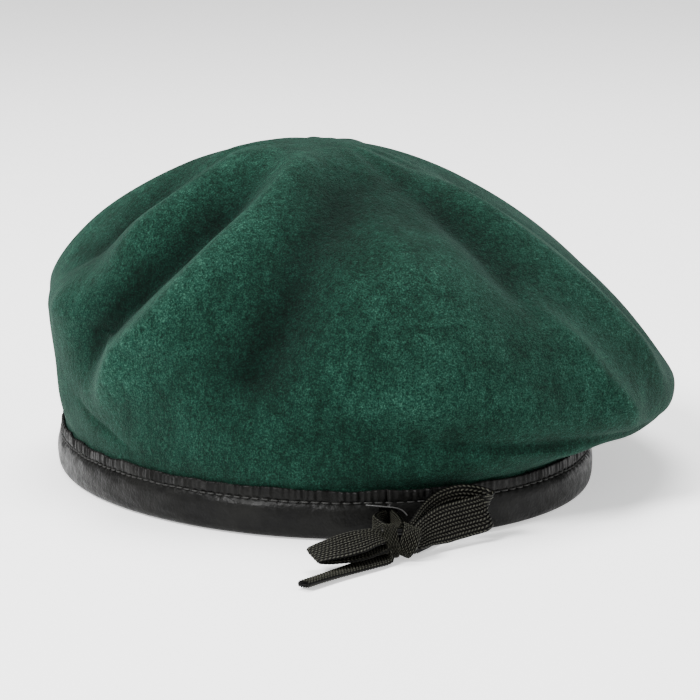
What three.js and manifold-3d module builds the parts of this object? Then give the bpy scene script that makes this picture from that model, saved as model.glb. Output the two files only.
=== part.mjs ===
// A soft wool-felt beret standing on its leather binding: felt crown, two-leaf binding with its
// stitching, a drawstring that runs in the binding and comes out at the back in a tied bow,
// a lining, a badge stiffener and a blank size label.
// Millimetres. +Z is up, +Y is the wearer's front, +X the wearer's right. Z = 0 is the plane
// that the binding stands on, and the origin is the middle of the head opening.
import * as THREE from 'three';
import Module from 'manifold-3d';

const wasm = await Module();
wasm.setup();
const { Manifold, Mesh: Solid } = wasm;

// ---- driving dimensions -------------------------------------------------------------------
const HEAD_GIRTH = 570;                 // size 57: girth inside the binding
const OVAL = 1.17;                      // front-to-back over side-to-side
const HEAD_R = HEAD_GIRTH / (2 * Math.PI);      // mean radius of the head side of the binding
const GAP = 0.3;                        // kept between pieces that touch

const FELT = 2.3;                       // felt thickness
const FELT_OFF = 1.0 + GAP;             // felt starts this far outside the head side
const NECK_Z = 16.3;                    // where the felt leaves the binding
const FELT_FOOT_Z = 2.4;                // the felt's cut edge, down inside the binding
const NECK_R = HEAD_R + FELT_OFF + FELT;        // outer radius of the felt there

const LEAF = 1.0;                       // leather thickness
const BINDING_H = 15.6;
const BINDING_W = 6.5;                  // head side to the fullest point of the outer leaf
const STITCH_Z = 11.9;                  // height of the stitch row
const THREAD = 0.6;

const TAPE_T = 1.2;                     // drawstring: flat braid, thickness and width
const TAPE_W = 12;
const RUN_W = 6.8;                      // its width where it is bunched up in the binding
const SLIT_DEG = 256.5;                 // where it comes out, measured from +X towards +Y

const LINING = 0.8;
const LINING_OFF = FELT + 2.2;          // from the felt's outer face to the lining's
const STIFFENER = 1.2;

// Crown measured round the head: [wearer's right, front, left, rear].
const RIM_R = [125, 114, 89.5, 107];      // radius at the widest point
const RIM_Z = [29, 42, 55, 37];         // height of the widest point
const TUCK_LEN = [22, 8, 6, 8];         // how far the felt runs on as it leaves the binding
const TUCK_UP = [0, 50, 75, 45];        // and at what angle above level, degrees
const UNDER = [13, 12, 20, 13];         // fullness under the rim
const OVER = [17, 26, 15, 26];          // fullness over the rim
const TOP_LEN = [48, 58, 60, 66];       // length of the flat top towards each side
const APEX = new THREE.Vector3(2, 2, 113);
const RIM_V = 0.28;                     // v runs 0 at the neck, this at the rim, 1 at the apex

// Soft folds that radiate from the top: [bearing deg, half width deg, height, start v, end v].
const FOLDS = [
  [188, 9, 3.0, 0.30, 0.95],
  [201, 8, -3.0, 0.32, 0.95],
  [214, 8, 3.2, 0.20, 0.98],
  [232, 11, -2.4, 0.40, 0.98],
  [252, 14, 1.8, 0.22, 0.80],
  [276, 10, -2.0, 0.42, 0.95],
  [298, 9, 2.6, 0.34, 0.98],
  [332, 13, 1.6, 0.30, 0.90],
  [18, 15, -1.6, 0.35, 0.95],
  [48, 12, 2.2, 0.25, 0.95],
  [82, 14, -2.0, 0.35, 0.95],
  [150, 11, -2.2, 0.35, 0.95],
  [168, 8, 2.4, 0.25, 0.95],
];

// ---- colours ------------------------------------------------------------------------------
const finish = (color, roughness, metalness = 0) =>
  new THREE.MeshStandardMaterial({ color, roughness, metalness });
const FELT_GREEN = finish('#27574a', 0.95);
const LEATHER_BLACK = finish('#1b1b1a', 0.5);
const BRAID_BLACK = finish('#1d1c18', 0.85);
const THREAD_BLACK = finish('#141414', 0.7);
const LINING_BLACK = finish('#17181a', 0.6);
const BOARD_GREY = finish('#4a4a48', 0.9);
const LABEL_WHITE = finish('#d9d6cc', 0.9);

const group = new THREE.Group();
group.name = 'beret';

function add(name, geometry, material) {
  const mesh = new THREE.Mesh(geometry, material);
  mesh.name = name;
  group.add(mesh);
  return mesh;
}

// ---- small maths --------------------------------------------------------------------------
const rad = THREE.MathUtils.degToRad;
const lerp = THREE.MathUtils.lerp;
const smooth = (x) => THREE.MathUtils.smoothstep(x, 0, 1);

// A value that goes smoothly round the head through its four quarter values.
function around([right, front, left, rear], a) {
  const mean = (right + front + left + rear) / 4;
  return mean + (right - left) / 2 * Math.cos(a) + (front - rear) / 2 * Math.sin(a)
    + (right + left - front - rear) / 4 * Math.cos(2 * a);
}

// Radius of the head oval of mean radius r, at bearing a.
function oval(a, r) {
  const side = r / Math.sqrt(OVAL);
  const fore = r * Math.sqrt(OVAL);
  return side * fore / Math.hypot(fore * Math.cos(a), side * Math.sin(a));
}

function bezier(p0, p1, p2, p3, t) {
  const s = 1 - t;
  return s * s * s * p0 + 3 * s * s * t * p1 + 3 * s * t * t * p2 + t * t * t * p3;
}

// ---- the crown's outer face ---------------------------------------------------------------
function smoothCrown(a, v) {
  const rimR = around(RIM_R, a);
  const rimZ = around(RIM_Z, a);
  if (v <= RIM_V) {
    const t = v / RIM_V;
    const up = rad(around(TUCK_UP, a));
    const len = around(TUCK_LEN, a);
    const neck = oval(a, NECK_R);
    const r = bezier(neck, neck + len * Math.cos(up), rimR, rimR, t);
    const z = bezier(NECK_Z, NECK_Z + len * Math.sin(up), rimZ - around(UNDER, a), rimZ, t);
    return new THREE.Vector3(r * Math.cos(a), r * Math.sin(a), z);
  }
  const t = (v - RIM_V) / (1 - RIM_V);
  const r = bezier(rimR, rimR, around(TOP_LEN, a), 0, t);
  const z = bezier(rimZ, rimZ + around(OVER, a), APEX.z, APEX.z, t);
  const shift = smooth(t);
  return new THREE.Vector3(r * Math.cos(a) + APEX.x * shift, r * Math.sin(a) + APEX.y * shift, z);
}

function crownNormal(a, v) {
  const e = 0.004;
  const w = THREE.MathUtils.clamp(v, e, 1 - 2 * e);
  const du = smoothCrown(a + e, w).sub(smoothCrown(a - e, w));
  const dv = smoothCrown(a, w + e).sub(smoothCrown(a, w - e));
  return du.cross(dv).normalize();
}

function foldHeight(a, v) {
  let h = 0;
  for (const [bearing, halfWidth, height, from, to] of FOLDS) {
    const turn = THREE.MathUtils.euclideanModulo(a - rad(bearing) + Math.PI, 2 * Math.PI) - Math.PI;
    const across = Math.exp(-((turn / rad(halfWidth)) ** 2));
    const along = smooth((v - from) / 0.15) * smooth((to - v) / 0.25);
    h += height * across * along;
  }
  return h;
}

// A point of the crown, a given depth below its outer face.
function crownPoint(a, v, depth = 0) {
  const lift = foldHeight(a, v) - depth;
  if (v >= 0.999) {
    return new THREE.Vector3(APEX.x, APEX.y, APEX.z - depth);
  }
  return smoothCrown(a, v).addScaledVector(crownNormal(a, v), lift);
}

// ---- solids made of rings round the head ---------------------------------------------------
// rings is a list of functions of the bearing. The first and last may be single points (poles);
// otherwise the last ring joins the first, and the solid is a closed hoop.
function ringSolid(rings, steps, poles) {
  const positions = [];
  const index = [];
  const ringStart = [];
  rings.forEach((ring, k) => {
    ringStart.push(positions.length / 3);
    const single = poles && (k === 0 || k === rings.length - 1);
    for (let i = 0; i < (single ? 1 : steps); i += 1) {
      positions.push(...ring(2 * Math.PI * i / steps).toArray());
    }
  });
  const at = (k, i) => {
    const single = poles && (k === 0 || k === rings.length - 1);
    return ringStart[k] + (single ? 0 : i % steps);
  };
  const bands = poles ? rings.length - 1 : rings.length;
  for (let k = 0; k < bands; k += 1) {
    const next = (k + 1) % rings.length;
    for (let i = 0; i < steps; i += 1) {
      const quad = [at(k, i), at(k, i + 1), at(next, i + 1), at(next, i)];
      if (quad[0] !== quad[1]) {
        index.push(quad[0], quad[1], quad[2]);
      }
      if (quad[2] !== quad[3]) {
        index.push(quad[0], quad[2], quad[3]);
      }
    }
  }
  const geometry = new THREE.BufferGeometry();
  geometry.setAttribute('position', new THREE.Float32BufferAttribute(positions, 3));
  geometry.setIndex(index);
  geometry.computeVertexNormals();
  return geometry;
}

// A point on the head oval, off mm outside the head side of the binding.
function hoopPoint(a, off, z) {
  const R = oval(a, HEAD_R + off);
  return new THREE.Vector3(R * Math.cos(a), R * Math.sin(a), z);
}

function steps(from, to, count) {
  return Array.from({ length: count + 1 }, (_, i) => lerp(from, to, i / count));
}

// ---- felt crown: one piece, down inside the binding at its edge ----------------------------
function crownFelt() {
  const rows = [...steps(0.03, 0.9, 15), 0.96, 1];
  const outside = rows.map((v) => (a) => crownPoint(a, v)).reverse();
  const foot = [
    (a) => hoopPoint(a, FELT_OFF + FELT, NECK_Z),
    (a) => hoopPoint(a, FELT_OFF + FELT, FELT_FOOT_Z),
    (a) => hoopPoint(a, FELT_OFF, FELT_FOOT_Z),
    (a) => hoopPoint(a, FELT_OFF, NECK_Z),
  ];
  const inside = rows.map((v) => (a) => crownPoint(a, v, FELT));
  return ringSolid([...outside, ...foot, ...inside].reverse(), 84, true);
}

// ---- lining: a top panel and a side panel, joined by a seam --------------------------------
const SEAM_V = 0.42;

function liningTop() {
  const rows = [...steps(SEAM_V + 0.006, 0.9, 8), 1];
  const outside = rows.map((v) => (a) => crownPoint(a, v, LINING_OFF)).reverse();
  const inside = rows.map((v) => (a) => crownPoint(a, v, LINING_OFF + LINING));
  return ringSolid([...outside, ...inside].reverse(), 48, true);
}

function liningSide() {
  const rows = steps(0.07, SEAM_V - 0.006, 6);
  const outside = rows.map((v) => (a) => crownPoint(a, v, LINING_OFF)).reverse();
  const inside = rows.map((v) => (a) => crownPoint(a, v, LINING_OFF + LINING));
  return ringSolid([...outside, ...inside].reverse(), 48, false);
}

// A thread that lies round a hoop, as a ring of four sides.
function threadRing(centre, across, up, sides = 96) {
  const corner = (i) => (a) => centre(a)
    .addScaledVector(across(a), THREAD / 2 * Math.cos(i * Math.PI / 2))
    .addScaledVector(up(a), THREAD / 2 * Math.sin(i * Math.PI / 2));
  return ringSolid([0, 1, 2, 3].map(corner), sides, false);
}

function liningSeam() {
  const along = (a) => crownPoint(a, SEAM_V + 0.01, LINING_OFF)
    .sub(crownPoint(a, SEAM_V - 0.01, LINING_OFF)).normalize();
  return threadRing(
    (a) => crownPoint(a, SEAM_V, LINING_OFF + LINING + GAP + THREAD / 2),
    (a) => crownNormal(a, SEAM_V),
    along,
    64,
  );
}

// ---- badge stiffener: a curved board between felt and lining, over the left eye ------------
function badgeStiffener() {
  const board = new THREE.BoxGeometry(1, 1, STIFFENER, 8, 8, 1);
  const pos = board.attributes.position;
  for (let i = 0; i < pos.count; i += 1) {
    const a = rad(119 + 26 * pos.getX(i));
    const v = 0.46 + 0.26 * pos.getY(i);
    const depth = FELT + 0.45 + STIFFENER / 2 - pos.getZ(i);
    pos.setXYZ(i, ...crownPoint(a, v, depth).toArray());
  }
  board.computeVertexNormals();
  return board;
}

// ---- binding: one leather strip folded up round the felt's edge ----------------------------
// Its section, from the head side outwards, in mm off the head side and mm up.
const BINDING_SECTION = [
  [0, 14], [0, 2.4], [0.5, 0.8], [1.5, 0], [5.0, 0], [6.0, 0.7], [6.3, 2.2],
  [6.5, 5.5], [6.5, 8.4], [6.0, 10.6], [4.9, STITCH_Z], [4.9, BINDING_H],
  [4.9 - LEAF, BINDING_H], [4.9 - LEAF, 12.2], [5.0, 10.2], [5.5, 8.2],
  [5.5, 5.5], [5.3, 2.4], [4.9, 1.2], [1.6, 1.2], [LEAF, 2.4], [LEAF, 14],
];

function toSolid(geometry) {
  return Manifold.ofMesh(new Solid({
    numProp: 3,
    vertProperties: new Float32Array(geometry.attributes.position.array),
    triVerts: new Uint32Array(geometry.index.array),
  }));
}

function fromSolid(solid) {
  const mesh = solid.getMesh();
  const geometry = new THREE.BufferGeometry();
  geometry.setAttribute('position', new THREE.Float32BufferAttribute(mesh.vertProperties, 3));
  geometry.setIndex([...mesh.triVerts]);
  geometry.computeVertexNormals();
  return geometry;
}

// The bow's own directions at the slit: along the binding to the right, and straight out.
const SLIT_A = rad(SLIT_DEG);
const SLIT_AT = hoopPoint(SLIT_A, BINDING_W, 0);
const ALONG = hoopPoint(SLIT_A + 0.01, 0, 0).sub(hoopPoint(SLIT_A - 0.01, 0, 0)).normalize();
const OUT = new THREE.Vector3().crossVectors(ALONG, new THREE.Vector3(0, 0, 1));

function bowPoint([u, w, z]) {
  return SLIT_AT.clone().addScaledVector(ALONG, u).addScaledVector(OUT, w).setZ(z);
}

function binding() {
  const hoops = BINDING_SECTION.map(([off, z]) => (a) => hoopPoint(a, off, z));
  const strip = toSolid(ringSolid(hoops, 96, false));
  const turn = THREE.MathUtils.radToDeg(Math.atan2(ALONG.y, ALONG.x));
  const at = bowPoint([0, 0.7, 6.9]);
  const slit = Manifold.cube([6, 4, 6.4], true).rotate([0, 0, turn]).translate(at.toArray());
  return fromSolid(strip.subtract(slit));
}

// The stitch row, needle thread outside and bobbin thread on the head side.
function stitchRing(off) {
  const outward = (a) => new THREE.Vector3(Math.cos(a), Math.sin(a), 0);
  const up = () => new THREE.Vector3(0, 0, 1);
  return threadRing((a) => hoopPoint(a, off, STITCH_Z), outward, up);
}

// ---- flat braid: a box bent along a route --------------------------------------------------
// Each station is [centre, direction across the tape, width] with its centre and direction in
// the bow's own directions: along the binding, out from it, up.
function tape(stations, segments, toWorld = bowPoint) {
  const centre = new THREE.CatmullRomCurve3(stations.map(([p]) => toWorld(p)), false, 'centripetal');
  const across = new THREE.CatmullRomCurve3(
    stations.map(([p, d]) => {
      const from = toWorld(p);
      return toWorld([p[0] + d[0], p[1] + d[1], p[2] + d[2]]).sub(from).normalize();
    }),
  );
  const widths = stations.map(([, , w]) => w);
  const box = new THREE.BoxGeometry(1, 1, 1, segments, 1, 1);
  const pos = box.attributes.position;
  for (let i = 0; i < pos.count; i += 1) {
    const t = pos.getX(i) + 0.5;
    const k = Math.min(Math.floor(t * (widths.length - 1)), widths.length - 2);
    const width = lerp(widths[k], widths[k + 1], t * (widths.length - 1) - k);
    const tangent = centre.getTangent(t);
    const side = across.getPoint(t);
    side.addScaledVector(tangent, -side.dot(tangent)).normalize();
    const face = new THREE.Vector3().crossVectors(tangent, side);
    const p = centre.getPoint(t)
      .addScaledVector(side, pos.getY(i) * width)
      .addScaledVector(face, pos.getZ(i) * TAPE_T);
    pos.setXYZ(i, ...p.toArray());
  }
  box.computeVertexNormals();
  return box;
}

// The run inside the binding: from one side of the slit right round to the other.
function drawstringRun() {
  const half = 3.2;
  const count = 96;
  const stations = steps(SLIT_DEG + half, SLIT_DEG + 360 - half, count)
    .map((deg) => [hoopPoint(rad(deg), 4.52, 5.5).toArray(), [0, 0, 1], RUN_W]);
  return tape(stations, 96, (p) => new THREE.Vector3(...p));
}

// ---- the bow -------------------------------------------------------------------------------
const KNOT = [0.5, 20, 5.6];            // centre: along, out, up
const KNOT_SIZE = [11.0, 9.6, 10.4];

function bowKnot() {
  const ball = new THREE.SphereGeometry(0.5, 20, 12);
  ball.rotateX(Math.PI / 2);
  ball.scale(...KNOT_SIZE);
  const turn = Math.atan2(ALONG.y, ALONG.x);
  ball.rotateZ(turn);
  const at = bowPoint(KNOT);
  ball.translate(at.x, at.y, at.z);
  return ball;
}

// Stations of each stretch: [along, out, up], direction across the tape, width.
const LEAD_LEFT = [
  [[-1.4, -0.8, 7.2], [0, 0, 1], 5.6],
  [[-1.5, 0.4, 7.2], [0, 0, 1], 5.8],
  [[-4.2, 4.8, 7.7], [0, 0, 1], 6],
  [[-5.4, 9.2, 7.9], [0, 0, 1], 6],
  [[-4.2, 13, 7.4], [0, 0, 1], 5.8],
];
const LEAD_RIGHT = [
  [[1.4, 0.4, 7.2], [0, 0, 1], 6.0],
  [[2.2, 7, 7.0], [0, 0, 1], 6.4],
  [[2.4, 14.2, 6.4], [0, 0, 1], 6.0],
];
const LOOP_LEFT = [
  [[-5.4, 22, 7.9], [0.4, 0.7, -0.35], 7],
  [[-9.8, 24.8, 8.1], [0.45, 0.8, -0.34], 9],
  [[-14.5, 27.6, 7.7], [0.42, 0.86, -0.3], 11.5],
  [[-19.5, 30, 7], [0.36, 0.9, -0.24], 12],
  [[-24.6, 31.7, 6.2], [0.27, 0.94, -0.16], 12],
  [[-27.4, 32.4, 5.4], [0.2, 0.97, -0.1], 12],
  [[-25.4, 31.8, 4.6], [0.27, 0.95, -0.05], 12],
  [[-20, 30.1, 4.2], [0.36, 0.92, -0.05], 12],
  [[-14.5, 27.7, 4], [0.42, 0.9, -0.05], 11],
  [[-9.7, 24.9, 4], [0.5, 0.86, -0.04], 9],
  [[-5.3, 22.6, 4.2], [0.5, 0.86, 0], 7],
];
const LOOP_RIGHT = [
  [[6.3, 17.8, 5.8], [-0.10, -0.30, 0.95], 7.6],
  [[10, 14.6, 6.8], [-0.10, -0.30, 0.95], 9.6],
  [[17, 9.8, 7.8], [-0.05, -0.31, 0.95], 12],
  [[24, 5.6, 8.3], [0, -0.31, 0.95], 12],
  [[29.5, 2.9, 9.0], [0, -0.31, 0.95], 12],
  [[30.6, 1.4, 9.8], [0, -0.31, 0.95], 12],
  [[28.6, 0.2, 10.6], [0, -0.25, 0.95], 12],
  [[23, 0.6, 11.6], [0, -0.20, 0.97], 12],
  [[16, 4.0, 11.2], [-0.05, -0.20, 0.97], 11],
  [[10, 9.4, 9.4], [-0.10, -0.20, 0.97], 9],
  [[5.6, 15.4, 7.6], [-0.10, -0.20, 0.97], 6.5],
];
const TAIL_LEFT = [
  [[-4.6, 24, 1.2], [0.55, 0.83, 0], 7],
  [[-10, 28.2, 1.1], [0.62, 0.78, 0], 8],
  [[-17, 34, 1.1], [0.66, 0.75, 0.04], 7],
  [[-24.6, 41, 1.3], [0.68, 0.73, 0.1], 5.5],
  [[-32.2, 48.4, 1.5], [0.68, 0.73, 0.12], 4.5],
];
const TAIL_RIGHT = [
  [[4.4, 14.6, 1], [0.8, 0.6, 0], 5.5],
  [[6.6, 11.2, 0.8], [0.85, 0.52, 0], 6.5],
  [[9.2, 7.2, 0.7], [0.85, 0.52, 0], 7],
  [[11.8, 3.4, 0.7], [0.85, 0.52, 0], 7],
];

// ---- size label: a small blank woven tag at the back, on the binding's inner leaf ----------
function sizeLabel() {
  const tag = new THREE.BoxGeometry(24, 0.5, 8, 12, 1, 2);
  const pos = tag.attributes.position;
  for (let i = 0; i < pos.count; i += 1) {
    const a = rad(270) - pos.getX(i) / (HEAD_R * Math.sqrt(OVAL));
    pos.setXYZ(i, ...hoopPoint(a, -0.6 + pos.getY(i), 7.2 + pos.getZ(i)).toArray());
  }
  tag.computeVertexNormals();
  return tag;
}

add('crown_felt', crownFelt(), FELT_GREEN);
add('binding', binding(), LEATHER_BLACK);
add('binding_needle_thread', stitchRing(4.9 + GAP + THREAD / 2 + 0.35), THREAD_BLACK);
add('binding_bobbin_thread', stitchRing(-GAP - THREAD / 2), THREAD_BLACK);
add('drawstring_run', drawstringRun(), BRAID_BLACK);
add('lace_lead_left', tape(LEAD_LEFT, 4), BRAID_BLACK);
add('lace_lead_right', tape(LEAD_RIGHT, 4), BRAID_BLACK);
add('bow_knot', bowKnot(), BRAID_BLACK);
add('bow_loop_left', tape(LOOP_LEFT, 30), BRAID_BLACK);
add('bow_loop_right', tape(LOOP_RIGHT, 30), BRAID_BLACK);
add('lace_tail_left', tape(TAIL_LEFT, 10), BRAID_BLACK);
add('lace_tail_right', tape(TAIL_RIGHT, 8), BRAID_BLACK);
add('lining_top_panel', liningTop(), LINING_BLACK);
add('lining_side_panel', liningSide(), LINING_BLACK);
add('lining_seam_thread', liningSeam(), THREAD_BLACK);
add('badge_stiffener', badgeStiffener(), BOARD_GREY);
add('size_label', sizeLabel(), LABEL_WHITE);

export default group;
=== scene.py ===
"""A wool-felt beret standing on its leather binding, with its drawstring bow in front of it."""

import math

import bpy
import numpy as np
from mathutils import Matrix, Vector


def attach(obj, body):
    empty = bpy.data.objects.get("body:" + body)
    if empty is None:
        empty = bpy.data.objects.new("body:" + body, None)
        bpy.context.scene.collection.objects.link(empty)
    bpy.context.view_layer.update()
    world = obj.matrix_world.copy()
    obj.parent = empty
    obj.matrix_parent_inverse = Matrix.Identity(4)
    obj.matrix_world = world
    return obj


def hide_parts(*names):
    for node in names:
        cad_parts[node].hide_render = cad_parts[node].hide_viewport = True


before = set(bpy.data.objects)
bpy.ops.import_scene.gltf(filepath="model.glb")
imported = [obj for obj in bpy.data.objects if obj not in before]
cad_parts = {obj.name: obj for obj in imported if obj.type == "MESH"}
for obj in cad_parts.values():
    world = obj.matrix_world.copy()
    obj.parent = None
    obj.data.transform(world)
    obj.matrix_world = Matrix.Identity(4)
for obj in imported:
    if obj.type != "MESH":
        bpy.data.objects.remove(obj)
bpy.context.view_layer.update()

MM = 0.001

# ---- driving dimensions, in mm, as in the CAD ------------------------------------------------
OVAL = 1.17
HEAD_R = 570 / (2 * math.pi)
FELT = 2.3
FELT_OFF = 1.3
NECK_Z = 16.3
NECK_R = HEAD_R + FELT_OFF + FELT
BINDING_W = 6.5
STITCH_Z = 11.9
STITCHES = 192
PULL_PITCH = 3.1    # between the dimples that the stitches make, on the head side
SLIT_DEG = 256.5
TAPE_T = 1.2
LINING = 0.8
LINING_OFF = FELT + 2.2
SEAM_V = 0.42
SEAM_STITCHES = 230

# Crown measured round the head: wearer's right, front, left, rear.
RIM_R = (125, 114, 89.5, 107)
RIM_Z = (29, 42, 55, 37)
TUCK_LEN = (22, 8, 6, 8)
TUCK_UP = (0, 50, 75, 45)
UNDER = (13, 12, 20, 13)
OVER = (17, 26, 15, 26)
TOP_LEN = (48, 58, 60, 66)
APEX = (2, 2, 113)
RIM_V = 0.28        # where the rim is, from 0 at the binding to 1 at the apex


# ---- camera ------------------------------------------------------------------------------------
def look_from(azimuth, elevation, distance, aim, lens):
    """Camera round the head opening's centre, aimed at a point, in mm and degrees."""
    a, e = math.radians(azimuth), math.radians(elevation)
    at = Vector((math.sin(a) * math.cos(e), -math.cos(a) * math.cos(e), math.sin(e)))
    data = bpy.data.cameras.new("camera")
    data.lens = lens
    data.sensor_width = 36
    camera = bpy.data.objects.new("camera", data)
    bpy.context.collection.objects.link(camera)
    camera.location = at * distance * MM
    toward = Vector(aim) * MM - camera.location
    camera.rotation_euler = toward.to_track_quat("-Z", "Y").to_euler()
    bpy.context.scene.camera = camera


look_from(azimuth=-25, elevation=14, distance=940, aim=(13, 4.5, 38.1), lens=138)


# ---- mesh helpers ------------------------------------------------------------------------------
def add_piece(name, mesh):
    piece = bpy.data.objects.new(name, mesh)
    bpy.context.collection.objects.link(piece)
    return piece


def grid_mesh(name, rows, wrap_u=True, wrap_v=False, cap_first=False, cap_last=False, shade=None):
    """A mesh from an array of points in mm: rows[v, u]. shade is a value from 0 to 1 for each point."""
    nv, nu = rows.shape[:2]
    ids = np.arange(nv * nu).reshape(nv, nu)
    if wrap_u:
        ids = np.concatenate([ids, ids[:, :1]], axis=1)
    if wrap_v:
        ids = np.concatenate([ids, ids[:1]], axis=0)
    quads = np.stack([ids[:-1, :-1], ids[:-1, 1:], ids[1:, 1:], ids[1:, :-1]], axis=-1).reshape(-1, 4)
    faces = quads.tolist()
    if cap_first:
        faces.append(ids[0, :nu][::-1].tolist())
    if cap_last:
        faces.append(ids[nv - 1, :nu].tolist())
    mesh = bpy.data.meshes.new(name)
    mesh.from_pydata((rows.reshape(-1, 3) * MM).tolist(), [], faces)
    if shade is not None:
        layer = mesh.color_attributes.new(name="shade", type="FLOAT_COLOR", domain="POINT")
        colour = np.repeat(shade.reshape(-1, 1), 4, axis=1)
        layer.data.foreach_set("color", colour.astype(np.float32).ravel())
    mesh.polygons.foreach_set("use_smooth", [True] * len(mesh.polygons))
    mesh.validate()
    mesh.update()
    return add_piece(name, mesh)


def face_outward(mesh):
    """Turns a closed mesh's faces over if they look inward."""
    points = np.empty(len(mesh.vertices) * 3, np.float32)
    mesh.vertices.foreach_get("co", points)
    mesh.calc_loop_triangles()
    corners = np.empty(len(mesh.loop_triangles) * 3, np.int32)
    mesh.loop_triangles.foreach_get("vertices", corners)
    a, b, c = points.reshape(-1, 3)[corners.reshape(-1, 3)].astype(float).transpose(1, 0, 2)
    if (a * np.cross(b, c)).sum() < 0:
        mesh.flip_normals()


def dress(piece, material, body, nodes=()):
    face_outward(piece.data)
    piece.data.materials.append(material)
    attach(piece, body)
    if nodes:
        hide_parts(*nodes)
    return piece


def smooth(x):
    """From 0 to 1, level at both ends."""
    x = np.clip(x, 0, 1)
    return x * x * (3 - 2 * x)


def unit(v):
    """Each vector at length 1."""
    return v / np.maximum(np.linalg.norm(v, axis=-1, keepdims=True), 1e-9)


def turn(count):
    """Even bearings once round."""
    return np.linspace(0, 2 * np.pi, count, endpoint=False)


def waves(x, count, low, high, seed):
    """Smooth unevenness of about -1 to 1 that closes on itself round a turn: x is a bearing."""
    r = np.random.default_rng(seed)
    total = np.zeros_like(x)
    for _ in range(count):
        total += np.sin(r.integers(low, high) * x + r.uniform(0, 2 * np.pi)) * r.uniform(0.5, 1)
    return total / math.sqrt(count)


# ---- materials ---------------------------------------------------------------------------------
def new_material(name):
    material = bpy.data.materials.new(name)
    material.use_nodes = True
    tree = material.node_tree
    shader = tree.nodes["Principled BSDF"]
    return material, tree, shader


def shade_node(tree):
    """The value from 0 to 1 that grid_mesh stores at each point."""
    node = tree.nodes.new("ShaderNodeAttribute")
    node.attribute_name = "shade"
    return node.outputs["Fac"]


def noise_node(tree, scale, detail, roughness, stretch=None):
    where = tree.nodes.new("ShaderNodeTexCoord").outputs["Object"]
    if stretch:
        mapping = tree.nodes.new("ShaderNodeMapping")
        mapping.inputs["Scale"].default_value = stretch
        tree.links.new(where, mapping.inputs["Vector"])
        where = mapping.outputs["Vector"]
    node = tree.nodes.new("ShaderNodeTexNoise")
    node.inputs["Scale"].default_value = scale
    node.inputs["Detail"].default_value = detail
    node.inputs["Roughness"].default_value = roughness
    tree.links.new(where, node.inputs["Vector"])
    return node.outputs["Fac"]


def ramp_node(tree, source, stops):
    node = tree.nodes.new("ShaderNodeValToRGB")
    while len(node.color_ramp.elements) < len(stops):
        node.color_ramp.elements.new(0.5)
    for element, (at, colour) in zip(node.color_ramp.elements, stops):
        element.position = at
        element.color = (*colour, 1)
    tree.links.new(source, node.inputs["Fac"])
    return node.outputs["Color"]


def multiply_node(tree, a, b):
    node = tree.nodes.new("ShaderNodeMix")
    node.data_type = "RGBA"
    node.blend_type = "MULTIPLY"
    node.inputs["Factor"].default_value = 1.0
    tree.links.new(a, node.inputs["A"])
    tree.links.new(b, node.inputs["B"])
    return node.outputs["Result"]


def bump_node(tree, height, distance, strength=1.0, under=None):
    node = tree.nodes.new("ShaderNodeBump")
    node.inputs["Distance"].default_value = distance * MM
    node.inputs["Strength"].default_value = strength
    tree.links.new(height, node.inputs["Height"])
    if under is not None:
        tree.links.new(under, node.inputs["Normal"])
    return node.outputs["Normal"]


def felt_material():
    """Milled wool: short matted fibre, with light painted on the crests of the folds and shade painted in
    the hollows.
    """
    material, tree, shader = new_material("wool_felt")
    fibre = noise_node(tree, 1900, detail=3, roughness=0.75)
    tuft = noise_node(tree, 620, detail=4, roughness=0.7)
    patch = noise_node(tree, 38, detail=4, roughness=0.6)
    streak = noise_node(tree, 170, detail=3, roughness=0.65, stretch=(1, 1, 0.6))
    fine = ramp_node(tree, fibre, [(0.34, (0.0012, 0.0085, 0.0060)), (0.52, (0.0052, 0.0290, 0.0190)),
                                   (0.70, (0.022, 0.078, 0.052))])
    coarse = ramp_node(tree, tuft, [(0.36, (0.46, 0.52, 0.50)), (0.64, (1.12, 1.08, 1.08))])
    broad = ramp_node(tree, patch, [(0.3, (0.62, 0.68, 0.66)), (0.7, (1.0, 1.0, 1.0))])
    flecks = ramp_node(tree, streak, [(0.32, (0.62, 0.68, 0.66)), (0.5, (0.95, 0.96, 0.96)),
                                      (0.70, (1.45, 1.30, 1.32))])
    # Painted light and shade: the shade value that crown_felt stores makes the fold crests paler and the
    # hollows, the felt by the binding and the inside darker.
    painted_light_and_shade = ramp_node(tree, shade_node(tree), [(0.0, (0.27, 0.38, 0.38)), (0.5, (0.92, 0.94, 0.93)),
                                                 (1.0, (1.85, 1.52, 1.56))])
    colour = fine
    for layer in (coarse, broad, flecks, painted_light_and_shade):
        colour = multiply_node(tree, colour, layer)
    tree.links.new(colour, shader.inputs["Base Color"])
    nap = bump_node(tree, patch, 3.0, 0.5)
    nap = bump_node(tree, tuft, 0.60, 0.8, under=nap)
    nap = bump_node(tree, fibre, 0.32, 0.9, under=nap)
    tree.links.new(nap, shader.inputs["Normal"])
    shader.inputs["Roughness"].default_value = 0.95
    shader.inputs["Specular IOR Level"].default_value = 0.08
    shader.inputs["Sheen Weight"].default_value = 0.07
    shader.inputs["Sheen Roughness"].default_value = 0.35
    shader.inputs["Sheen Tint"].default_value = (0.40, 0.80, 0.66, 1)
    return material


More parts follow.
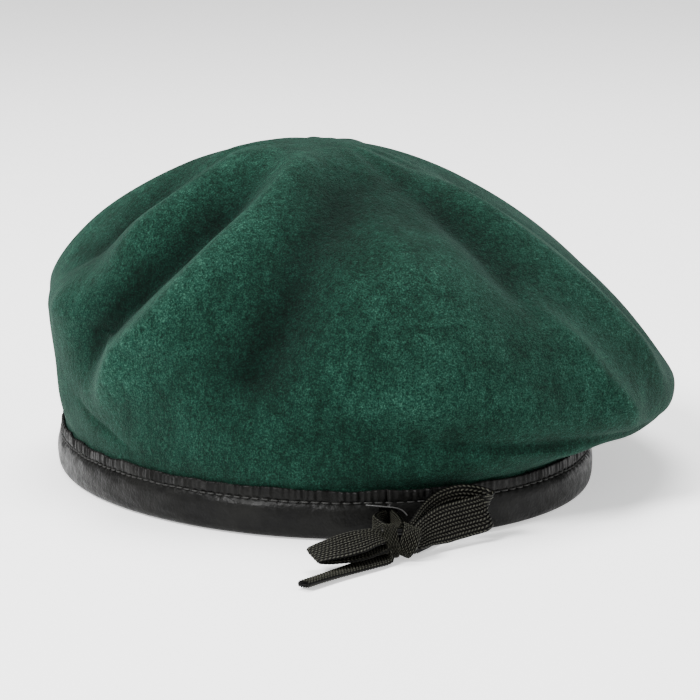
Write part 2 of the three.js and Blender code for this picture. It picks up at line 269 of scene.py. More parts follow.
def leather_material():
    """Black hide: fine cells, creases that vary its gloss, and paler worn patches."""
    material, tree, shader = new_material("hat_leather")
    grain = tree.nodes.new("ShaderNodeTexVoronoi")
    grain.inputs["Scale"].default_value = 1100
    where = tree.nodes.new("ShaderNodeTexCoord").outputs["Object"]
    tree.links.new(where, grain.inputs["Vector"])
    crease = noise_node(tree, 330, detail=5, roughness=0.65)
    worn = noise_node(tree, 90, detail=3, roughness=0.6)
    colour = ramp_node(tree, worn, [(0.3, (0.0015, 0.0015, 0.0015)), (0.72, (0.005, 0.005, 0.0045))])
    tree.links.new(colour, shader.inputs["Base Color"])
    dull = ramp_node(tree, crease, [(0.3, (0.32, 0.32, 0.32)), (0.7, (0.54, 0.54, 0.54))])
    tree.links.new(dull, shader.inputs["Roughness"])
    relief = bump_node(tree, worn, 1.0, 0.5)
    relief = bump_node(tree, crease, 0.34, 0.7, under=relief)
    relief = bump_node(tree, grain.outputs["Distance"], 0.12, 0.6, under=relief)
    tree.links.new(relief, shader.inputs["Normal"])
    shader.inputs["Specular IOR Level"].default_value = 0.085
    return material


def braid_material():
    """Glossy black yarn, with light painted on its stitches and shade painted in the grooves between them.
    """
    material, tree, shader = new_material("braid")
    yarn = noise_node(tree, 2200, detail=2, roughness=0.7)
    # Painted light and shade: the stitch relief that braid stores as shade makes the stitches paler and the
    # grooves darker.
    colour = ramp_node(tree, shade_node(tree), [(0.25, (0.0004, 0.0004, 0.0003)),
                                                (0.65, (0.003, 0.003, 0.0022)),
                                                (0.95, (0.060, 0.060, 0.047))])
    light = ramp_node(tree, yarn, [(0.35, (0.35, 0.35, 0.35)), (0.65, (1.0, 1.0, 1.0))])
    tree.links.new(multiply_node(tree, colour, light), shader.inputs["Base Color"])
    tree.links.new(bump_node(tree, yarn, 0.10, 0.6), shader.inputs["Normal"])
    shader.inputs["Roughness"].default_value = 0.42
    shader.inputs["Specular IOR Level"].default_value = 0.05
    return material


def thread_material():
    material, tree, shader = new_material("sewing_thread")
    twist = noise_node(tree, 3000, detail=2, roughness=0.6)
    colour = ramp_node(tree, twist, [(0.3, (0.008, 0.008, 0.008)), (0.7, (0.032, 0.032, 0.030))])
    tree.links.new(colour, shader.inputs["Base Color"])
    tree.links.new(bump_node(tree, twist, 0.05, 0.6), shader.inputs["Normal"])
    shader.inputs["Roughness"].default_value = 0.6
    shader.inputs["Specular IOR Level"].default_value = 0.15
    return material


def grey_thread_material():
    material, tree, shader = new_material("loose_thread")
    twist = noise_node(tree, 3000, detail=2, roughness=0.6)
    colour = ramp_node(tree, twist, [(0.3, (0.03, 0.03, 0.03)), (0.7, (0.08, 0.08, 0.077))])
    tree.links.new(colour, shader.inputs["Base Color"])
    shader.inputs["Roughness"].default_value = 0.7
    return material


def satin_material():
    material, tree, shader = new_material("satin_lining")
    weave = noise_node(tree, 1800, detail=2, roughness=0.5, stretch=(1, 1, 0.25))
    shade = noise_node(tree, 60, detail=3, roughness=0.5)
    colour = ramp_node(tree, shade, [(0.3, (0.009, 0.009, 0.011)), (0.7, (0.022, 0.022, 0.026))])
    tree.links.new(colour, shader.inputs["Base Color"])
    tree.links.new(bump_node(tree, weave, 0.05, 0.5), shader.inputs["Normal"])
    shader.inputs["Roughness"].default_value = 0.38
    shader.inputs["Anisotropic"].default_value = 0.5
    return material


def woven_material(name, dark, light, scale):
    """Plain cloth, of fibres drawn out sideways."""
    material, tree, shader = new_material(name)
    fibre = noise_node(tree, scale, detail=3, roughness=0.6, stretch=(1, 1, 3))
    colour = ramp_node(tree, fibre, [(0.3, dark), (0.7, light)])
    tree.links.new(colour, shader.inputs["Base Color"])
    tree.links.new(bump_node(tree, fibre, 0.08, 0.6), shader.inputs["Normal"])
    shader.inputs["Roughness"].default_value = 0.9
    return material


FELT_MAT = felt_material()
LEATHER_MAT = leather_material()
BRAID_MAT = braid_material()
THREAD_MAT = thread_material()
GREY_THREAD_MAT = grey_thread_material()
SATIN_MAT = satin_material()
LABEL_MAT = woven_material("label_tape", (0.55, 0.53, 0.48), (0.75, 0.73, 0.68), 1500)
BOARD_MAT = woven_material("buckram", (0.05, 0.05, 0.048), (0.10, 0.10, 0.095), 900)


# ---- the head oval and the bow's own directions ------------------------------------------------
UP = np.array([0, 0, 1.0])


def oval(a, r):
    """How far the oval of mean radius r is from the head's axis at bearing a, in radians."""
    side = r / math.sqrt(OVAL)
    fore = r * math.sqrt(OVAL)
    return side * fore / np.hypot(fore * np.cos(a), side * np.sin(a))


def hoop(a, off, z):
    """Points on the head oval, off mm outside the head side of the binding."""
    R = oval(a, HEAD_R + off)
    return np.stack(np.broadcast_arrays(R * np.cos(a), R * np.sin(a), z), axis=-1)


SLIT_A = math.radians(SLIT_DEG)
SLIT_AT = hoop(np.array(SLIT_A), BINDING_W, 0.0)
ALONG = unit(hoop(np.array(SLIT_A + 0.01), 0, 0.0) - hoop(np.array(SLIT_A - 0.01), 0, 0.0))
OUT = np.cross(ALONG, UP)


def bow_point(p):
    """From mm along the binding, out from it and up, all from the slit, to the frame's mm."""
    p = np.asarray(p, dtype=float)
    return SLIT_AT + p[..., :1] * ALONG + p[..., 1:2] * OUT + p[..., 2:] * UP


def bow_dir(d):
    """A direction in the same terms as bow_point."""
    d = np.asarray(d, dtype=float)
    return unit(d[..., :1] * ALONG + d[..., 1:2] * OUT + d[..., 2:] * UP)


# ---- flat braid --------------------------------------------------------------------------------
RIBS = 10           # lengthwise ribs across the tape
STITCH = 1.25       # length of one stitch along a rib
SUNK = 0.42         # how far the grooves between the stitches lie under the tape's face
RELIEF = 0.56       # how high a stitch stands out of its groove


def spline(points, per_span):
    """A centripetal Catmull-Rom curve through the points, evenly stepped in each span."""
    p = np.concatenate([[2 * points[0] - points[1]], points, [2 * points[-1] - points[-2]]])
    out = []
    for i in range(len(points) - 1):
        p0, p1, p2, p3 = p[i:i + 4]
        t0 = 0.0
        t1 = t0 + max(np.linalg.norm(p1 - p0), 1e-6) ** 0.5
        t2 = t1 + max(np.linalg.norm(p2 - p1), 1e-6) ** 0.5
        t3 = t2 + max(np.linalg.norm(p3 - p2), 1e-6) ** 0.5
        t = np.linspace(t1, t2, per_span, endpoint=False)[:, None]
        a1 = (t1 - t) / (t1 - t0) * p0 + (t - t0) / (t1 - t0) * p1
        a2 = (t2 - t) / (t2 - t1) * p1 + (t - t1) / (t2 - t1) * p2
        a3 = (t3 - t) / (t3 - t2) * p2 + (t - t2) / (t3 - t2) * p3
        b1 = (t2 - t) / (t2 - t0) * a1 + (t - t0) / (t2 - t0) * a2
        b2 = (t3 - t) / (t3 - t1) * a2 + (t - t1) / (t3 - t1) * a3
        out.append((t2 - t) / (t2 - t1) * b1 + (t - t1) / (t2 - t1) * b2)
    out.append(points[-1:])
    return np.concatenate(out)


def resample(line, step):
    """Even steps along a line: the place of each in the line's own index, and its length so far."""
    length = np.concatenate([[0], np.cumsum(np.linalg.norm(np.diff(line, axis=0), axis=1))])
    count = max(int(length[-1] / step), 8)
    at = np.linspace(0, length[-1], count + 1)
    return np.interp(at, length, np.arange(len(line))), at


def pick(values, index):
    """Values at fractional places in a list, by straight lines between its entries."""
    low = np.floor(index).astype(int)
    high = np.minimum(low + 1, len(values) - 1)
    f = (index - low).reshape(-1, *([1] * (values.ndim - 1)))
    return values[low] * (1 - f) + values[high] * f


def braid(name, stations, closed=False, step=0.24, per_rib=7, cup=0.0, thick=TAPE_T):
    """A flat braid along stations of (centre, direction across, width). Its ribs run lengthwise,
    each a row of slanting stitches, and its edges are round. Returns the piece and its centreline."""
    centres = bow_point([s[0] for s in stations])
    sides = bow_dir([s[1] for s in stations])
    widths = np.array([[s[2]] for s in stations], dtype=float)
    if closed:
        centres, sides, widths = (np.concatenate([a, a[:1]]) for a in (centres, sides, widths))
    line, side, width = (spline(a, 24) for a in (centres, sides, widths))
    index, at = resample(line, step)
    line, side, width = pick(line, index), pick(side, index), pick(width, index)[:, 0]
    if closed:
        tangent = unit(np.roll(line[:-1], -1, 0) - np.roll(line[:-1], 1, 0))
        line, side, width, at = line[:-1], side[:-1], width[:-1], at[:-1]
    else:
        tangent = unit(np.gradient(line, axis=0))
    side = unit(side - (side * tangent).sum(-1, keepdims=True) * tangent)
    face = np.cross(tangent, side)
    across = np.linspace(-0.5, 0.5, RIBS * per_rib + 1)
    rib = (across + 0.5) * RIBS
    round_edge = np.sqrt(np.clip(1 - np.abs(2 * across) ** 6, 0, 1))

    def relief(sign):
        number = np.minimum(np.floor(rib), RIBS - 1)
        lean = (rib - number - 0.5) * 0.8 * np.where(number % 2 == 0, 1, -1)
        bead = np.abs(np.sin(np.pi * (at[:, None] / STITCH + lean + 0.5 * (number % 2) + 0.25 * sign)))
        ridge = np.abs(np.sin(np.pi * rib)) ** 0.6
        return ridge * (0.30 + 0.70 * bead ** 0.8)

    squeeze = np.sqrt(12 / np.maximum(width, 4))[:, None]
    bow = cup * (1 - (2 * across) ** 2)[None, :] * width[:, None] / 12
    flat = side[:, None, :] * across[None, :, None] * width[:, None, None]
    upper, lower = relief(1), relief(-1)
    rise = [round_edge * (thick / 2 - SUNK + RELIEF * marks) * squeeze for marks in (upper, lower)]
    top = line[:, None] + flat + face[:, None] * (rise[0] + bow)[..., None]
    under = line[:, None] + flat + face[:, None] * (bow - rise[1])[..., None]
    rows = np.concatenate([top, under[:, ::-1][:, 1:-1]], axis=1)
    # The stitch relief is also stored as shade, for the painted light on the stitches and the painted shade
    # in the grooves.
    shade = np.concatenate([upper, lower[:, ::-1][:, 1:-1]], axis=1)
    piece = grid_mesh(name, rows, wrap_v=closed, cap_first=not closed, cap_last=not closed, shade=shade)
    return piece, line


# Stations of each stretch: [along the binding, out from it, up], direction across, width.
LEAD_LEFT = [
    ((-1.4, -0.8, 7.2), (0, 0, 1), 5.6),
    ((-1.5, 0.4, 7.2), (0, 0, 1), 5.8),
    ((-4.2, 4.8, 7.7), (0, 0, 1), 6),
    ((-5.4, 9.2, 7.9), (0, 0, 1), 6),
    ((-4.2, 13, 7.4), (0, 0, 1), 5.8),
]
LEAD_RIGHT = [
    ((1.4, -0.8, 7.2), (0, 0, 1), 5.6),
    ((1.4, 0.4, 7.2), (0, 0, 1), 6.0),
    ((2.2, 7, 7.0), (0, 0, 1), 6.4),
    ((2.4, 14.2, 6.4), (0, 0, 1), 6.0),
]
LOOP_LEFT = [
    ((-5.4, 22, 7.9), (0.4, 0.7, -0.35), 7),
    ((-9.8, 24.8, 8.1), (0.45, 0.8, -0.34), 9),
    ((-14.5, 27.6, 7.7), (0.42, 0.86, -0.3), 11.5),
    ((-19.5, 30, 7), (0.36, 0.9, -0.24), 12),
    ((-24.6, 31.7, 6.2), (0.27, 0.94, -0.16), 12),
    ((-27.4, 32.4, 5.4), (0.2, 0.97, -0.1), 12),
    ((-25.4, 31.8, 4.6), (0.27, 0.95, -0.05), 12),
    ((-20, 30.1, 4.2), (0.36, 0.92, -0.05), 12),
    ((-14.5, 27.7, 4), (0.42, 0.9, -0.05), 11),
    ((-9.7, 24.9, 4), (0.5, 0.86, -0.04), 9),
    ((-5.3, 22.6, 4.2), (0.5, 0.86, 0), 7),
]
LOOP_RIGHT = [
    ((6.3, 17.8, 5.8), (-0.10, -0.30, 0.95), 7.6),
    ((10, 14.6, 6.8), (-0.10, -0.30, 0.95), 9.6),
    ((17, 9.8, 7.8), (-0.05, -0.31, 0.95), 12),
    ((24, 5.6, 8.3), (0, -0.31, 0.95), 12),
    ((29.5, 2.9, 9.0), (0, -0.31, 0.95), 12),
    ((30.6, 1.4, 9.8), (0, -0.31, 0.95), 12),
    ((28.6, 0.2, 10.6), (0, -0.25, 0.95), 12),
    ((23, 0.6, 11.6), (0, -0.20, 0.97), 12),
    ((16, 4.0, 11.2), (-0.05, -0.20, 0.97), 11),
    ((10, 9.4, 9.4), (-0.10, -0.20, 0.97), 9),
    ((5.6, 15.4, 7.6), (-0.10, -0.20, 0.97), 6.5),
]
TAIL_LEFT = [
    ((-4.6, 24, 1.2), (0.55, 0.83, 0), 7),
    ((-10, 28.2, 1.1), (0.62, 0.78, 0), 8),
    ((-17, 34, 1.1), (0.66, 0.75, 0.04), 7),
    ((-24.6, 41, 1.3), (0.68, 0.73, 0.1), 5.5),
    ((-32.2, 48.4, 1.5), (0.68, 0.73, 0.12), 4.5),
]
TAIL_RIGHT = [
    ((4.4, 14.6, 1), (0.8, 0.6, 0), 5.5),
    ((6.6, 11.2, 0.8), (0.85, 0.52, 0), 6.5),
    ((9.2, 7.2, 0.7), (0.85, 0.52, 0), 7),
    ((11.8, 3.4, 0.7), (0.85, 0.52, 0), 7),
]
KNOT = (0.5, 20, 5.6)


def through_knot(a, b, across):
    """Stations inside the knot, between the last of one stretch and the first of the next."""
    a, b, k = np.array(a[0]), np.array(b[0]), np.array(KNOT)
    return [(tuple(0.5 * (a + k)), across, 5.5), (tuple(k), across, 5),
            (tuple(0.5 * (b + k)), across, 5.5)]


def lace(name, lead, loop, tail, nodes):
    """One end of the drawstring, from the slit through the knot, round its loop, back through the
    knot and out to its cut end."""
    up = (0.2, 0.4, 0.85)
    route = (lead + through_knot(lead[-1], loop[0], up) + loop
             + through_knot(loop[-1], tail[0], up) + tail)
    piece, line = braid(name, route)
    dress(piece, BRAID_MAT, "bow", nodes)
    length = float(np.linalg.norm(np.diff(line, axis=0), axis=1).sum())
    return piece, line, length


lace_left, line_left, length_left = lace(
    "lace_left", LEAD_LEFT, LOOP_LEFT, TAIL_LEFT,
    ("lace_lead_left", "bow_loop_left", "lace_tail_left"))
lace_right, line_right, length_right = lace(
    "lace_right", LEAD_RIGHT, LOOP_RIGHT, TAIL_RIGHT,
    ("lace_lead_right", "bow_loop_right", "lace_tail_right"))


# ---- the knot: two turns of the braid round the bundle ------------------------------------------
def turn_round(name, at, radii, lean, width, thick):
    """A closed turn of braid round the bundle, about the along axis, leaning by lean degrees."""
    stations = []
    tilt = math.radians(lean)
    for a in turn(12).tolist():
        out, up = radii[0] * math.cos(a), radii[1] * math.sin(a)
        along = -up * math.tan(tilt) * 0.6
        centre = (KNOT[0] + at + along, KNOT[1] + out, KNOT[2] + up)
        stations.append((centre, (math.cos(tilt), 0.15 * math.sin(a), math.sin(tilt) * 0.6), width))
    piece, _ = braid(name, stations, closed=True, step=0.22, cup=0.9, thick=thick)
    return piece


def knot_core():
    """The bundle inside the knot, a ribbed lump that fills the turns."""
    long, wide, high = 5.0, 3.8, 3.6
    v, u = np.meshgrid(np.linspace(0.02, np.pi - 0.02, 60), turn(120), indexing="ij")
    ribs = 1 + 0.03 * np.cos(16 * u) + 0.02 * np.sin(3 * v + 2 * u)
    out, up = wide * np.sin(v) * np.cos(u) * ribs, high * np.sin(v) * np.sin(u) * ribs
    p = np.stack([long * np.cos(v), out, up], -1)
    return grid_mesh("knot_core", bow_point(p + np.array(KNOT)), cap_first=True, cap_last=True)


knot = dress(knot_core(), BRAID_MAT, "bow", ("bow_knot",))
turns = [
    turn_round("knot_turn_left", at=-2.8, radii=(4.3, 4.3), lean=10, width=4.2, thick=1.4),
    turn_round("knot_turn_right", at=2.0, radii=(4.4, 3.8), lean=-38, width=6.0, thick=1.4),
]
for piece in turns:
    dress(piece, BRAID_MAT, "bow")


# ---- felt crown --------------------------------------------------------------------------------
def around(quarters, a):
    """A value for bearing a, from those at the right, the front, the left and the rear."""
    right, front, left, rear = quarters
    return ((right + front + left + rear) / 4 + (right - left) / 2 * np.cos(a)
            + (front - rear) / 2 * np.sin(a) + (right + left - front - rear) / 4 * np.cos(2 * a))


def bezier(p0, p1, p2, p3, t):
    """A cubic curve from p0 to p3, drawn toward p1 and p2."""
    s = 1 - t
    return s ** 3 * p0 + 3 * s * s * t * p1 + 3 * s * t * t * p2 + t ** 3 * p3


def smooth_crown(a, v):
    """The crown without folds, at bearing a, v of the way from the binding to the apex."""
    a, v = np.broadcast_arrays(a, v)
    rim_r, rim_z = around(RIM_R, a), around(RIM_Z, a)
    low, up = np.clip(v / RIM_V, 0, 1), np.clip((v - RIM_V) / (1 - RIM_V), 0, 1)
    rise, run = np.radians(around(TUCK_UP, a)), around(TUCK_LEN, a)
    neck = oval(a, NECK_R)
    r_low = bezier(neck, neck + run * np.cos(rise), rim_r, rim_r, low)
    z_low = bezier(NECK_Z, NECK_Z + run * np.sin(rise), rim_z - around(UNDER, a), rim_z, low)
    r_up = bezier(rim_r, rim_r, around(TOP_LEN, a), 0, up)
    z_up = bezier(rim_z, rim_z + around(OVER, a), APEX[2], APEX[2], up)
    R = np.where(v <= RIM_V, r_low, r_up)
    z = np.where(v <= RIM_V, z_low, z_up)
    shift = smooth(up)
    return np.stack([R * np.cos(a) + APEX[0] * shift, R * np.sin(a) + APEX[1] * shift, z], axis=-1)


def crown_normal(a, v):
    """The way out from the crown without folds."""
    e = 0.004
    w = np.clip(v, e, 1 - 2 * e)
    return unit(np.cross(smooth_crown(a + e, w) - smooth_crown(a - e, w),
                         smooth_crown(a, w + e) - smooth_crown(a, w - e)))


# Each fold runs along the crown as a list of (v, bearing in degrees). Then its height in mm, its
# width in mm on the side of smaller and of larger bearings, and how round its crest is, in mm.
FOLDS = [
    ([(0.56, 183), (0.66, 188), (0.78, 192), (0.92, 194)], 5.5, 8, 8, 4.0),
    ([(0.22, 184), (0.42, 192), (0.60, 203), (0.80, 214)], -9.5, 7, 9, 5.0),
    ([(0.16, 192), (0.42, 209), (0.58, 217), (0.74, 226), (0.90, 238)], 7.5, 7, 12, 5.0),
    ([(0.24, 228), (0.46, 236), (0.66, 241), (0.76, 248), (0.90, 260)], -7.5, 11, 14, 6.0),
    ([(0.26, 264), (0.48, 263), (0.66, 265)], 4.0, 22, 26, 12.0),
    ([(0.50, 290), (0.66, 288), (0.80, 284)], -6.0, 10, 12, 5.0),
    ([(0.34, 317), (0.46, 312), (0.60, 308), (0.82, 300)], 4.6, 8, 9, 3.0),
    ([(0.22, 306), (0.41, 297), (0.54, 292)], 3.6, 7, 8, 3.0),
    ([(0.06, 200), (0.10, 190), (0.14, 179)], -2.0, 6, 6, 2.0),
    ([(0.36, 336), (0.60, 332), (0.84, 330)], -3.8, 9, 9, 4.0),
    ([(0.30, 2), (0.60, 356), (0.88, 350)], 2.4, 8, 12, 3.0),
    ([(0.34, 24), (0.60, 22), (0.84, 20)], -3.4, 12, 12, 4.0),
    ([(0.26, 46), (0.60, 50), (0.88, 52)], 4.2, 8, 14, 3.0),
    ([(0.34, 76), (0.60, 80), (0.84, 84)], -4.2, 13, 12, 4.0),
    ([(0.26, 98), (0.60, 100), (0.86, 104)], 3.6, 9, 12, 3.0),
    ([(0.60, 126), (0.72, 128), (0.86, 134)], -2.6, 9, 9, 4.0),
    ([(0.30, 142), (0.60, 146), (0.88, 152)], 3.0, 7, 9, 3.0),
    ([(0.46, 160), (0.60, 165), (0.80, 171)], -5.5, 9, 9, 4.0),
    ([(0.24, 166), (0.34, 168), (0.44, 172)], 4.0, 14, 12, 4.0),
]


# Along the rear a soft roll lies over a hollow: each (v, width in v, height in mm).
REAR_DEG = 290
REAR_SPREAD = 38
REAR_BANDS = [(0.30, 0.05, 1.2), (0.205, 0.035, -2.0)]


def fold_lift(a, v):
    """How far the folds and dents stand off the smooth crown, in mm."""
    p = smooth_crown(a, v)
    reach = np.hypot(p[..., 0] - APEX[0], p[..., 1] - APEX[1])
    lift = np.zeros(np.broadcast(a, v).shape)
    for line, height, before, after, crest in FOLDS:
        vs, bearings = zip(*line)
        centre = np.interp(v, vs, np.unwrap(np.radians(bearings)))
        d = ((a - centre + np.pi) % (2 * np.pi) - np.pi) * reach
        width = np.where(d < 0, before, after)
        shape = np.exp(-(np.sqrt(d * d + crest * crest) - crest) / width)
        along = smooth((v - vs[0] + 0.06) / 0.16) * smooth((vs[-1] + 0.10 - v) / 0.20)
        lift += height * shape * along
    rear = np.exp(-((((np.degrees(a) - REAR_DEG + 180) % 360) - 180) / REAR_SPREAD) ** 2)
    lift += rear * sum(height * np.exp(-((v - at) / width) ** 2) for at, width, height in REAR_BANDS)
    soft = waves(a, 5, 4, 13, 3) * np.sin(2.6 * np.pi * v + 1.0)
    soft = soft + waves(a, 5, 9, 21, 4) * np.sin(5 * np.pi * v)
    lift += 0.55 * soft * smooth(v / 0.15) * smooth((1 - v) / 0.1)
    return lift * smooth(v / 0.06) * smooth((1 - v) / 0.16)


def crown_point(a, v, depth=0.0, extra=0.0):
    """A point of the folded crown, depth mm in from its outer face."""
    return smooth_crown(a, v) + crown_normal(a, v) * (fold_lift(a, v) + extra - depth)[..., None]


# The felt's straight foot in the binding, from its cut edge up.
FOOT_Z = (12.8, 14.6)


def crown_felt():
    """The felt shell. Its shade value carries painted light and shade: paler on the fold crests, darker in
    the hollows, by the binding and inside.
    """
    a = turn(900)[None, :]
    rows = np.concatenate([np.linspace(0.0, 0.9, 230), np.linspace(0.905, 0.992, 20)])[:, None]
    outside = crown_point(a, rows)
    inside = crown_point(a, rows[::3], depth=FELT)
    a = a[0]
    foot_out = np.stack([hoop(a, FELT_OFF + FELT, z) for z in FOOT_Z])
    foot_in = np.stack([hoop(a, FELT_OFF, z) for z in FOOT_Z[::-1]])
    # Painted light and shade: the fold lift makes the crests paler and the hollows darker, and the rows by
    # the binding get painted shade as under the felt's overhang.
    lift = np.clip(0.5 + 0.085 * fold_lift(a[None, :], rows), 0, 1)
    low = 0.35 + 0.15 * smooth(rows / 0.12) + 0 * lift
    shade = np.minimum(lift, np.where(rows < 0.12, low, 1.0))
    rim = np.repeat(shade[:1], 2, axis=0)
    shell = np.concatenate([outside[::-1], foot_out[::-1], foot_in[::-1], inside])
    # The foot takes the painted shade of the lowest row, and the inside a painted shade of 0.4.
    shade = np.concatenate([shade[::-1], rim, rim, np.full_like(inside[..., 0], 0.4)])
    return grid_mesh("felt_crown", shell[::-1], cap_first=True, cap_last=True, shade=shade[::-1])


dress(crown_felt(), FELT_MAT, "hat", ("crown_felt",))


# ---- leather binding ---------------------------------------------------------------------------
# The slit's mouth in the outer leaf: along the binding, out from it and up.
SLIT_BOX = ((-3, 3), (-1.6, 3), (3.5, 10.7))

# Its section, from the top of the inner leaf down, round the roll and up the outer leaf, and back.
SECTION = [
    (0, 14), (0, 9), (0, 4), (0.15, 2.0), (0.6, 0.7), (1.5, 0), (3.2, 0), (4.5, 0.1), (5.4, 0.6),
    (6.0, 1.6), (6.3, 2.8), (6.5, 4.2), (6.6, 5.8), (6.55, 7.4), (6.4, 8.8), (6.0, 10.2),
    (5.35, 11.3), (4.75, 11.9), (4.95, 12.5), (5.05, 13.6), (4.95, 14.8), (4.8, 15.5),
    (4.4, 15.75), (4.0, 15.5), (3.95, 14.6), (3.95, 12.6), (5.0, 10.2), (5.5, 8.2), (5.5, 5.5),
    (5.3, 2.4), (4.9, 1.2), (1.6, 1.2), (1.0, 2.4), (1.0, 8), (1.0, 14), (0.5, 14.35),
]


def binding():
    """The leather strip: above its stitches it puckers, below them it drapes over the roll."""
    line = np.array(SECTION, dtype=float)
    fine = spline(np.concatenate([line, line[:1]]), 4)[:-1]
    off, z = fine[:, :1], fine[:, 1:]
    a = turn(2400)[None, :]
    girth = a * HEAD_R
    outer = smooth((off - 2.6) / 1.2)
    edge = outer * smooth((z - STITCH_Z) / 1.2)
    roll = outer * smooth((11.4 - z) / 2.0) * smooth((z - 3.0) / 1.5)
    pucker = waves(a, 14, 110, 330, 11) * 0.30 + waves(a, 6, 40, 90, 12) * 0.20
    drape = waves(a, 8, 8, 40, 13) * 0.22 * (1 + 0.5 * np.sin(0.7 * z))
    stitch = np.cos(2 * np.pi * girth / PULL_PITCH)
    pull = np.exp(-((z - STITCH_Z) / 0.9) ** 2) * outer
    lean = 0.25 * np.sin(z * 0.9 + 3 * waves(a, 4, 20, 70, 15))
    off_now = off + edge * pucker * (1 + lean) + roll * drape - pull * 0.12 * stitch
    z_now = z + edge * smooth((z - 13) / 2) * 0.35 * waves(a, 6, 10, 60, 16)
    past = (a - SLIT_A) * HEAD_R
    overlap = np.where(past > 0, np.exp(-np.clip(past, 0, None) / 5), 0) * 0.55
    join = overlap - np.exp(-(past / 0.4) ** 2) * 0.7
    off_now = off_now + outer * join * smooth((z - 10) / 2)
    R = oval(np.broadcast_to(a, off_now.shape), HEAD_R + off_now)
    rows = np.stack([R * np.cos(a), R * np.sin(a), np.broadcast_to(z_now, R.shape)], axis=-1)
    return grid_mesh("leather_binding", rows, wrap_v=True)


def cut_slit(piece):
    """Cuts the mouth that the lace comes out of. The box's faces look outward in the frame."""
    mesh = bpy.data.meshes.new("slit")
    along, out, up = SLIT_BOX
    corners = [(x, y, z) for x in along for y in out for z in up]
    points = [tuple(bow_point(c) * MM) for c in corners]
    faces = [(2, 3, 1, 0), (5, 7, 6, 4), (1, 5, 4, 0), (6, 7, 3, 2), (4, 6, 2, 0), (3, 7, 5, 1)]
    mesh.from_pydata(points, [], faces)
    tool = add_piece("slit", mesh)
    modifier = piece.modifiers.new("slit", "BOOLEAN")
    modifier.object = tool
    modifier.operation = "DIFFERENCE"
    bpy.context.view_layer.objects.active = piece
    bpy.ops.object.modifier_apply(modifier=modifier.name)
    bpy.data.objects.remove(tool)


leather = binding()
cut_slit(leather)
dress(leather, LEATHER_MAT, "hat", ("binding",))


# ---- stitches ----------------------------------------------------------------------------------
def stitch_row(name, count, place, radius, length_share, dip):
    """Separate stitches round a hoop: place(a) gives the line that they follow, length_share is how
    much of their pitch they fill, and dip how far their ends sink in, in mm."""
    rings, sides = 9, 7
    faces, points = [], []
    for k in range(count):
        a = 2 * np.pi * (k + np.linspace(-0.5, 0.5, rings) * length_share) / count
        line = place(a)
        t = np.linspace(-1, 1, rings)
        outward = unit(line * np.array([1, 1, 0]))
        line = line + outward * (-dip * t ** 4)[:, None]
        r = radius * np.sqrt(np.clip(1.02 - t ** 6, 0.05, 1))
        base = len(points)
        for i in range(rings):
            for j in range(sides):
                b = 2 * np.pi * j / sides
                points.append(line[i] + r[i] * (outward[i] * math.cos(b) + UP * math.sin(b)))
        for i in range(rings - 1):
            for j in range(sides):
                n = (j + 1) % sides
                faces.append((base + i * sides + j, base + i * sides + n,
                              base + (i + 1) * sides + n, base + (i + 1) * sides + j))
        faces.append([base + j for j in range(sides)][::-1])
        faces.append([base + (rings - 1) * sides + j for j in range(sides)])
    mesh = bpy.data.meshes.new(name)
    mesh.from_pydata((np.array(points) * MM).tolist(), [], faces)
    mesh.polygons.foreach_set("use_smooth", [True] * len(mesh.polygons))
    mesh.update()
    return add_piece(name, mesh)


def needle_line(a):
    return hoop(a, 5.15 + 0 * a, STITCH_Z + 0.12 * waves(a, 5, 9, 40, 21))


def bobbin_line(a):
    return hoop(a, -0.16 + 0 * a, STITCH_Z + 0 * a)


needle = stitch_row("needle_stitches", STITCHES, needle_line, radius=0.30, length_share=0.84, dip=0.55)
dress(needle, THREAD_MAT, "hat", ("binding_needle_thread",))
bobbin = stitch_row("bobbin_stitches", STITCHES, bobbin_line, radius=0.26, length_share=0.84, dip=-0.3)
dress(bobbin, THREAD_MAT, "hat", ("binding_bobbin_thread",))


def loose_thread():
    """A short end of thread, worked out of the stitches, that lies on the leather by the slit."""
    route = bow_point([(-7.2, 0.15, 11.9), (-4.6, 0.55, 11.7), (-1.4, 0.75, 11.3), (1.6, 0.7, 10.9),
                       (4.2, 0.6, 9.9), (5.8, 0.9, 8.3)])
    line = spline(route, 10)
    tangent = unit(np.gradient(line, axis=0))
    side = unit(np.cross(tangent, OUT))
    b = turn(8)[None, :, None]
    ring = side[:, None] * np.cos(b) + np.cross(tangent, side)[:, None] * np.sin(b)
    rows = line[:, None] + 0.2 * ring
    return grid_mesh("loose_thread", rows[:, ::-1], cap_first=True, cap_last=True)


dress(loose_thread(), GREY_THREAD_MAT, "hat")


# ---- lining ------------------------------------------------------------------------------------
def lining(name, v_low, v_high, rows, node, capped):
    """A panel of the lining, a little slack, from one v of the crown to another."""
    a = turn(480)[None, :]
    v = np.linspace(v_low, v_high, rows)[:, None]
    slack = 0.35 * waves(a, 8, 10, 50, 31) * np.sin(9 * v + 2)
    slack = slack + 0.3 * waves(a, 8, 30, 90, 32) * np.sin(17 * v) * smooth((v - v_low) / 0.05)
    slack = slack * smooth((v_high - v) / 0.04)
    outside = crown_point(a, v, depth=LINING_OFF + 0.4, extra=slack)
    inside = crown_point(a, v, depth=LINING_OFF + LINING, extra=slack)
    shell = np.concatenate([outside[::-1], inside])[::-1]
    piece = grid_mesh(name, shell, wrap_v=not capped, cap_first=capped, cap_last=capped)
    dress(piece, SATIN_MAT, "hat", (node,))


lining("lining_top", SEAM_V + 0.004, 0.99, rows=90, node="lining_top_panel", capped=True)
lining("lining_side", 0.07, SEAM_V - 0.004, rows=60, node="lining_side_panel", capped=False)


def seam_line(a):
    return crown_point(a, np.full_like(a, SEAM_V), depth=LINING_OFF + LINING + 0.45)


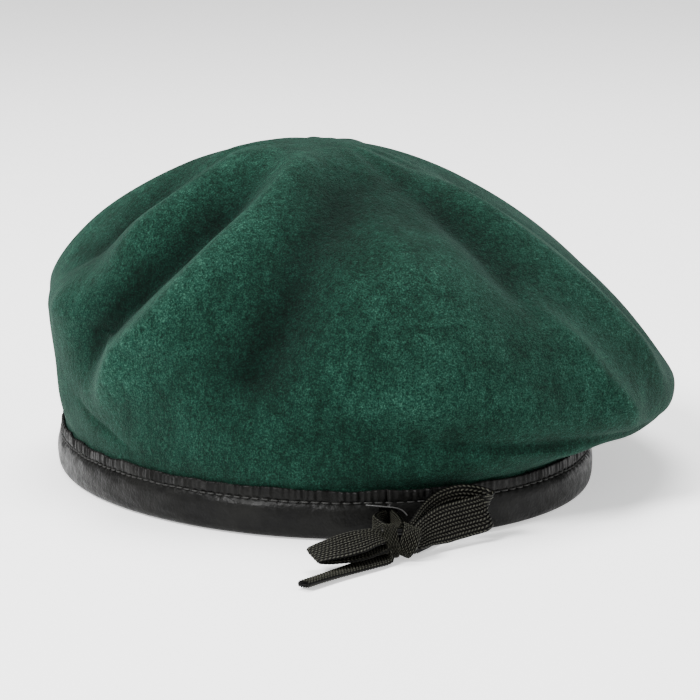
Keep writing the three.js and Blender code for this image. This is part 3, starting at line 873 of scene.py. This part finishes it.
seam = stitch_row("lining_seam_stitches", SEAM_STITCHES, seam_line, radius=0.28, length_share=0.8, dip=-0.3)
dress(seam, THREAD_MAT, "hat", ("lining_seam_thread",))


# ---- size label --------------------------------------------------------------------------------
# Its section, 8 mm high, on the head side of the binding.
LABEL_SECTION = [
    (-0.35, 3.2), (-0.85, 3.2), (-0.9, 5.2), (-0.86, 7.2), (-0.9, 9.2), (-0.85, 11.2), (-0.35, 11.2),
]
LABEL_W = 24.0


def size_label():
    """A blank woven tag at the rear."""
    x = np.linspace(-0.5, 0.5, 49) * LABEL_W
    a = math.radians(270) - x / (HEAD_R * math.sqrt(OVAL))
    ripple = 0.10 * np.sin(x * 0.9)
    rows = np.array([hoop(a, off + ripple, z + 0 * a) for off, z in LABEL_SECTION])
    return grid_mesh("blank_size_label", np.swapaxes(rows, 0, 1), cap_first=True, cap_last=True)


dress(size_label(), LABEL_MAT, "hat", ("size_label",))


# ---- the board over the left eye, and the hidden run of lace -------------------------------------
BOARD_DEG = 119     # bearing of its middle
BOARD_HALF = 13     # half its width, in degrees
BOARD_GAP = 0.45    # between the felt and the board
BOARD_T = 1.2


def stiffener():
    """The board under the felt, bent to the crown and narrowed at its top and its foot."""
    v = np.linspace(0.33, 0.59, 40)
    t = (v - 0.46) / 0.13
    half = BOARD_HALF * np.clip(1 - np.abs(t) ** 8, 0.55, 1)
    a = np.radians(BOARD_DEG + half[:, None] * np.linspace(-1, 1, 40)[None, :])
    outer = crown_point(a, v[:, None], depth=FELT + BOARD_GAP)
    inner = crown_point(a, v[:, None], depth=FELT + BOARD_GAP + BOARD_T)
    rows = np.concatenate([outer, inner[:, ::-1]], axis=1)
    return grid_mesh("badge_board", rows, cap_first=True, cap_last=True)


dress(stiffener(), BOARD_MAT, "hat", ("badge_stiffener",))

# The run is hidden, so the CAD's own piece stays and is only given the braid's material.
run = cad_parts["drawstring_run"]
run.data.materials.clear()
run.data.materials.append(BRAID_MAT)


# ---- floor and light -----------------------------------------------------------------------------
def floor():
    """A plain pale sheet a little under the binding."""
    x = np.linspace(-9000, 9000, 24)
    gx, gy = np.meshgrid(x, x)
    rows = np.stack([gx, gy, np.full_like(gx, -0.4)], axis=-1)
    piece = grid_mesh("floor", rows, wrap_u=False)
    material, _, shader = new_material("paper_white")
    shader.inputs["Base Color"].default_value = (0.95, 0.95, 0.95, 1)
    shader.inputs["Roughness"].default_value = 0.9
    shader.inputs["Emission Color"].default_value = (1, 1, 1, 1)
    shader.inputs["Emission Strength"].default_value = 0.7
    piece.data.materials.append(material)


def area_light(name, at, size, power):
    """A round lamp, in metres and watts, that looks at the foot of the crown."""
    data = bpy.data.lights.new(name, "AREA")
    data.shape = "DISK"
    data.size = size
    data.energy = power
    light = bpy.data.objects.new(name, data)
    bpy.context.collection.objects.link(light)
    light.location = at
    light.rotation_euler = (Vector((0, 0, 0.05)) - Vector(at)).to_track_quat("-Z", "Y").to_euler()


floor()
area_light("key", at=(-1.15, -0.35, 1.15), size=0.6, power=58)
area_light("fill", at=(1.2, -1.2, 0.7), size=1.0, power=9)
area_light("top", at=(0.2, 0.4, 1.6), size=1.0, power=40)
world = bpy.data.worlds.new("studio")
world.use_nodes = True
world.node_tree.nodes["Background"].inputs["Color"].default_value = (1, 1, 1, 1)
world.node_tree.nodes["Background"].inputs["Strength"].default_value = 0.55
bpy.context.scene.world = world
